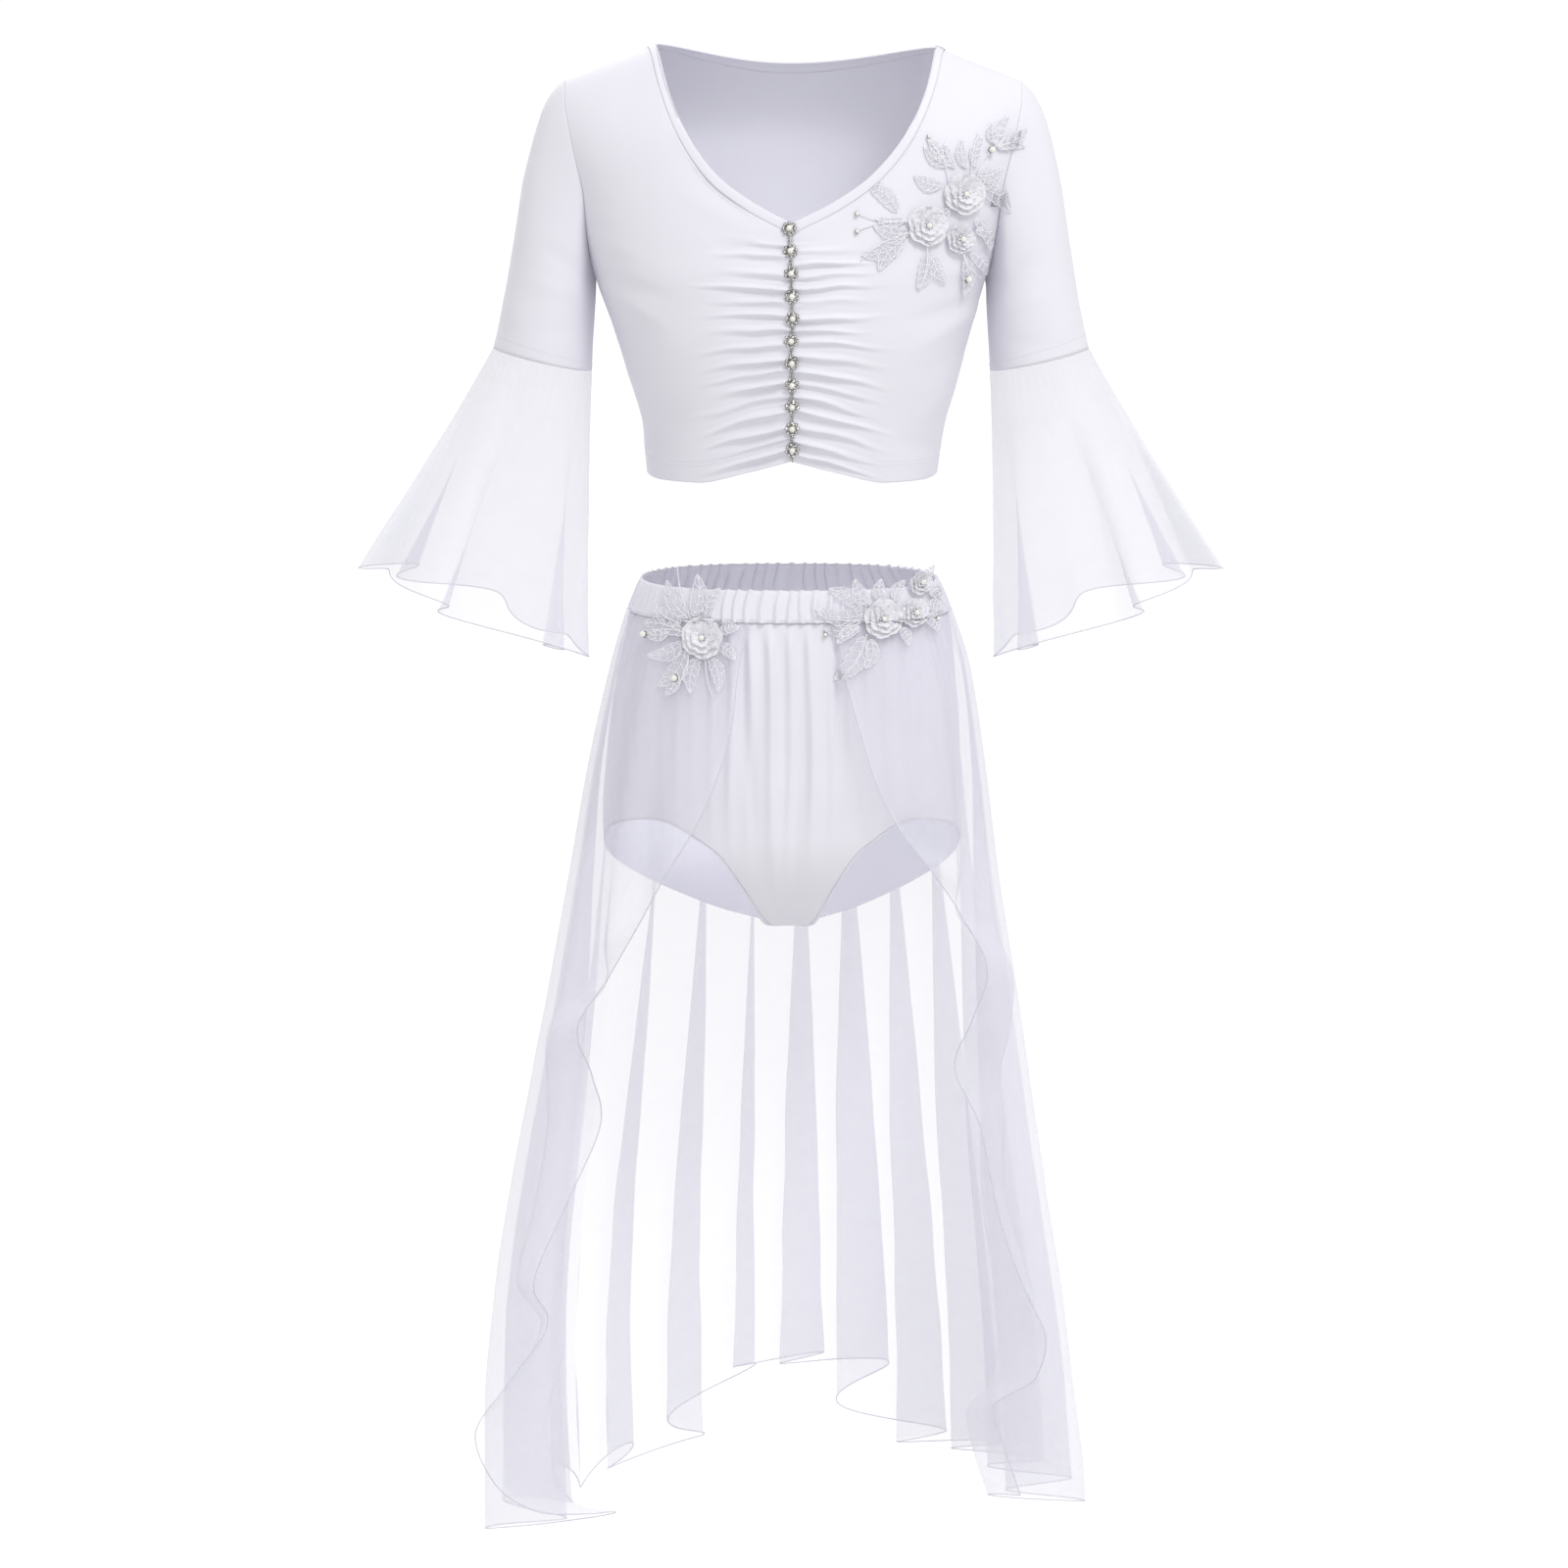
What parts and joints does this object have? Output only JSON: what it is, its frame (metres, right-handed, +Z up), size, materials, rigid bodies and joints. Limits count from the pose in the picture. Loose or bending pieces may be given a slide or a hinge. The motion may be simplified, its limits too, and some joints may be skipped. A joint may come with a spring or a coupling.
{
  "type": "two-piece skirted leotard costume",
  "caption": "White stage costume: cropped V-neck top with ruched front, pearl trim and chiffon bell cuffs, and briefs with an open high-low chiffon overskirt.",
  "frame": {"origin": "on the shoulder line midway between the two ends of the neckline, where the wearer's shoulders carry the top", "axes": "+Z up, -Y to the wearer's front, +X to the viewer's right"},
  "size_m": [0.7222, 0.346, 1.2828],
  "materials": {
    "knit": "smooth stretch knit with a soft sheen",
    "chiffon": "sheer matt chiffon",
    "lace": "matt corded lace",
    "pearl_trim": "silver settings with pearls and small stones"
  },
  "bodies": {
    "root": {"top_front_left": "knit", "top_front_right": "knit", "top_back": "knit", "neck_binding": "knit", "sleeve_left": "knit", "sleeve_right": "knit", "bell_left": "chiffon", "bell_right": "chiffon", "pearl_trim": "pearl_trim", "shoulder_applique": "lace", "waistband": "knit", "brief_front": "knit", "brief_back": "knit", "skirt_back": "chiffon", "skirt_front_left": "chiffon", "skirt_front_right": "chiffon", "hip_applique_left": "lace", "hip_applique_right": "lace"}
  },
  "joints": []
}
